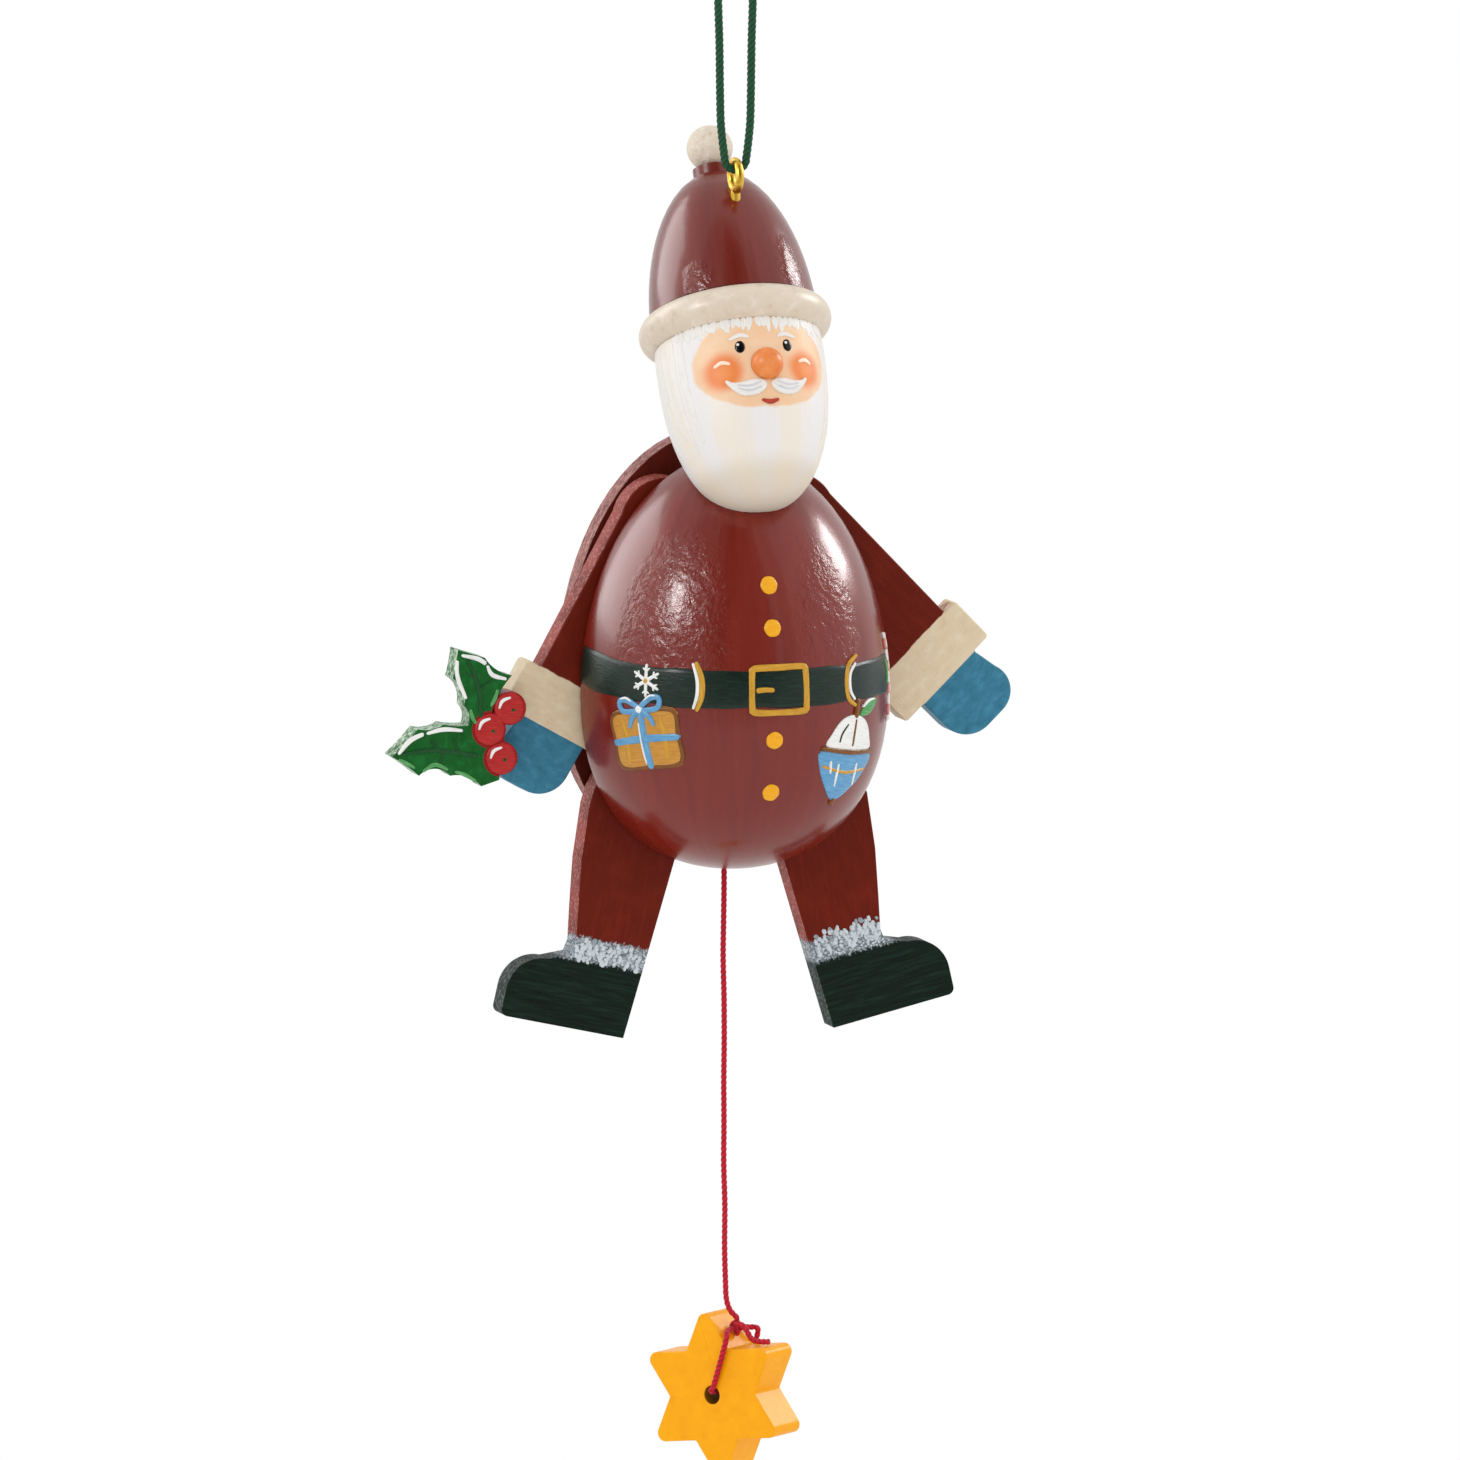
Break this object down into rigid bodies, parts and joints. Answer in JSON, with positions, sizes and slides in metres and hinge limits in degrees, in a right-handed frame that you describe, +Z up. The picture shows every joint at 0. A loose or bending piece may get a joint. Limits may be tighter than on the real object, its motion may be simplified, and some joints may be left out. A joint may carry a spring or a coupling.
{
  "type": "jumping jack ornament",
  "caption": "Painted wooden jumping jack: turned half-egg body over a flat back board, hinged board arms and legs drawn up by a pull string with a star, hung by a cord loop",
  "frame": {"origin": "the hang point: the inside of the top of the green cord loop, just under its knot, where a hook or a twig carries it", "axes": "+X to the right as seen from the front, +Y to the back, +Z up; the front of the figure faces -Y"},
  "size_m": [0.0938, 0.0365, 0.2319],
  "materials": {
    "body_paint": "brick red gloss paint, brushed downwards",
    "board_paint": "dark red satin paint on sawn board",
    "bare_wood": "plain beech",
    "face_paint": "flesh and cream paint under clear varnish",
    "hat_paint": "brick red gloss paint",
    "cream_paint": "cream satin paint",
    "nose_paint": "orange paint under clear varnish",
    "brass_wire": "bright brass plated wire",
    "pin_brass": "dull brass pin",
    "cord_green": "twisted cotton cord",
    "arm_paint": "dark red sleeve, cream cuff and blue mitten",
    "leg_paint": "dark red leg, white fur band and dark green boot",
    "holly_paint": "green gloss paint, red berries, white strokes",
    "thread_red": "twisted cotton string",
    "star_paint": "amber yellow gloss paint"
  },
  "bodies": {
    "figure": {"body_front": "body_paint", "back_plate": "board_paint", "neck_spacer": "bare_wood", "head": "face_paint", "head_dowel": "bare_wood", "hat": "hat_paint", "hat_brim": "cream_paint", "pompom": "cream_paint", "nose": "nose_paint", "screw_eye": "brass_wire", "hanging_cord": "cord_green", "hanging_knot": "cord_green", "shoulder_pin_left": "pin_brass", "shoulder_pin_right": "pin_brass", "hip_pin_left": "pin_brass", "hip_pin_right": "pin_brass"},
    "left_arm": {"left_arm": "arm_paint", "holly_sprig": "holly_paint"},
    "right_arm": {"right_arm": "arm_paint"},
    "left_leg": {"left_leg": "leg_paint"},
    "right_leg": {"right_leg": "leg_paint"},
    "pull": {"draw_string": "thread_red", "pull_string": "thread_red", "arm_link_thread": "thread_red", "leg_link_thread": "thread_red", "pull_knot": "thread_red", "star_loop": "thread_red", "star": "star_paint"}
  },
  "joints": [
    {"name": "pull", "type": "slide", "parent": "figure", "child": "pull", "axis": [0, 0, -1], "range_m": [0, 0.00765], "deforming": ["arm_link_thread", "leg_link_thread"]},
    {"name": "left_shoulder", "type": "hinge", "parent": "figure", "child": "left_arm", "pos_m": [-0.0095, 0.0054, -0.085], "axis": [0, 1, 0], "range_deg": [0, 80]},
    {"name": "right_shoulder", "type": "hinge", "parent": "figure", "child": "right_arm", "pos_m": [0.0095, 0.0054, -0.085], "axis": [0, -1, 0], "range_deg": [0, 80]},
    {"name": "left_hip", "type": "hinge", "parent": "figure", "child": "left_leg", "pos_m": [-0.0115, 0.0054, -0.118], "axis": [0, 1, 0], "range_deg": [0, 57.14]},
    {"name": "right_hip", "type": "hinge", "parent": "figure", "child": "right_leg", "pos_m": [0.0115, 0.0054, -0.118], "axis": [0, -1, 0], "range_deg": [0, 57.14]}
  ],
  "couplings": [
    {"joint": "left_shoulder", "follows": "pull", "rad_per_m": 182.5},
    {"joint": "right_shoulder", "follows": "pull", "rad_per_m": 182.5},
    {"joint": "left_hip", "follows": "pull", "rad_per_m": 130.34},
    {"joint": "right_hip", "follows": "pull", "rad_per_m": 130.34}
  ]
}
